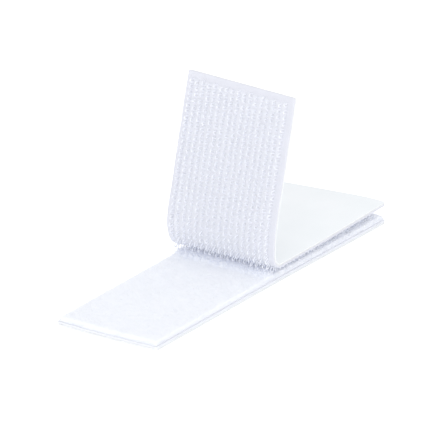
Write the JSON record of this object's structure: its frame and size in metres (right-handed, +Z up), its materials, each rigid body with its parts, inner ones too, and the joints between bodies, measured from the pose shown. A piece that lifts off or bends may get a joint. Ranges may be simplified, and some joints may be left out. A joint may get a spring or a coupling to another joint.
{
  "type": "hook and loop fastener strip pair",
  "caption": "Self-adhesive hook-and-loop fastener pair: a flat loop strip with a hook strip joined to half of it and peeled up into a standing tab.",
  "frame": {"origin": "under the middle of the loop strip, on the face of its release liner that it rests on", "axes": "+X along the strips, from the open end of the loop strip towards the joined far ends; +Y across them; +Z up"},
  "size_m": [0.088, 0.0262, 0.0409],
  "materials": {
    "loop_pile": "matt, fuzzy loop pile",
    "woven_tape": "matt, fine woven ribs",
    "hook_thread": "semi-translucent moulded thread",
    "back_coating": "satin resin coat",
    "adhesive": "tacky, clear to white",
    "release_liner": "smooth silicone-coated paper, slight sheen"
  },
  "bodies": {
    "loop_strip": {"loop_adhesive": "adhesive", "loop_coating": "back_coating", "loop_tape": "woven_tape", "loop_pile": "loop_pile"},
    "loop_release_liner": {"loop_liner": "release_liner"},
    "hook_joined": {"joined_liner": "release_liner", "joined_adhesive": "adhesive", "joined_coating": "back_coating", "joined_tape": "woven_tape", "joined_hooks": "hook_thread"},
    "hook_tail": {"tail_liner_root": "release_liner", "tail_adhesive": "adhesive", "tail_coating": "back_coating", "tail_tape": "woven_tape", "tail_hooks": "hook_thread"},
    "tail_flap": {"tail_liner_flap": "release_liner"},
    "hook_bend_1": {"bend_1_liner": "release_liner", "bend_1_adhesive": "adhesive", "bend_1_coating": "back_coating", "bend_1_tape": "woven_tape", "bend_1_hooks": "hook_thread"},
    "hook_bend_2": {"bend_2_liner": "release_liner", "bend_2_adhesive": "adhesive", "bend_2_coating": "back_coating", "bend_2_tape": "woven_tape", "bend_2_hooks": "hook_thread"},
    "hook_bend_3": {"bend_3_liner": "release_liner", "bend_3_adhesive": "adhesive", "bend_3_coating": "back_coating", "bend_3_tape": "woven_tape", "bend_3_hooks": "hook_thread"},
    "hook_tab": {"tab_liner": "release_liner", "tab_adhesive": "adhesive", "tab_coating": "back_coating", "tab_tape": "woven_tape", "tab_hooks": "hook_thread"}
  },
  "joints": [
    {"name": "loop_liner_pull", "type": "slide", "parent": "loop_strip", "child": "loop_release_liner", "axis": [-1, 0, 0], "range_m": [0, 0.06]},
    {"name": "hook_strip_lift", "type": "slide", "parent": "loop_strip", "child": "hook_joined", "axis": [0, 0, 1], "range_m": [0, 0.03]},
    {"name": "far_end_peel", "type": "hinge", "parent": "hook_joined", "child": "hook_tail", "pos_m": [0.027, 0, 0.0043], "axis": [0, -1, 0], "range_deg": [0, 35]},
    {"name": "tail_liner_peel", "type": "hinge", "parent": "hook_tail", "child": "tail_flap", "pos_m": [0.033, 0, 0.0043], "axis": [0, -1, 0], "range_deg": [0, 80]},
    {"name": "fold", "type": "hinge", "parent": "hook_joined", "child": "hook_bend_1", "pos_m": [0.0024, 0, 0.0043], "axis": [0, 1, 0], "range_deg": [-42, 20]},
    {"name": "fold_2", "type": "hinge", "parent": "hook_bend_1", "child": "hook_bend_2", "pos_m": [0.00084, 0, 0.00571], "axis": [0, 1, 0], "range_deg": [-34.05, 16.24]},
    {"name": "fold_3", "type": "hinge", "parent": "hook_bend_2", "child": "hook_bend_3", "pos_m": [0.00014, 0, 0.00852], "axis": [0, 1, 0], "range_deg": [-17.55, 8.38]},
    {"name": "fold_4", "type": "hinge", "parent": "hook_bend_3", "child": "hook_tab", "pos_m": [0.00045, 0, 0.01361], "axis": [0, 1, 0], "range_deg": [-11.05, 5.29]}
  ],
  "couplings": [
    {"joint": "fold_2", "follows": "fold", "ratio": 0.80952},
    {"joint": "fold_3", "follows": "fold", "ratio": 0.41667},
    {"joint": "fold_4", "follows": "fold", "ratio": 0.2619}
  ]
}
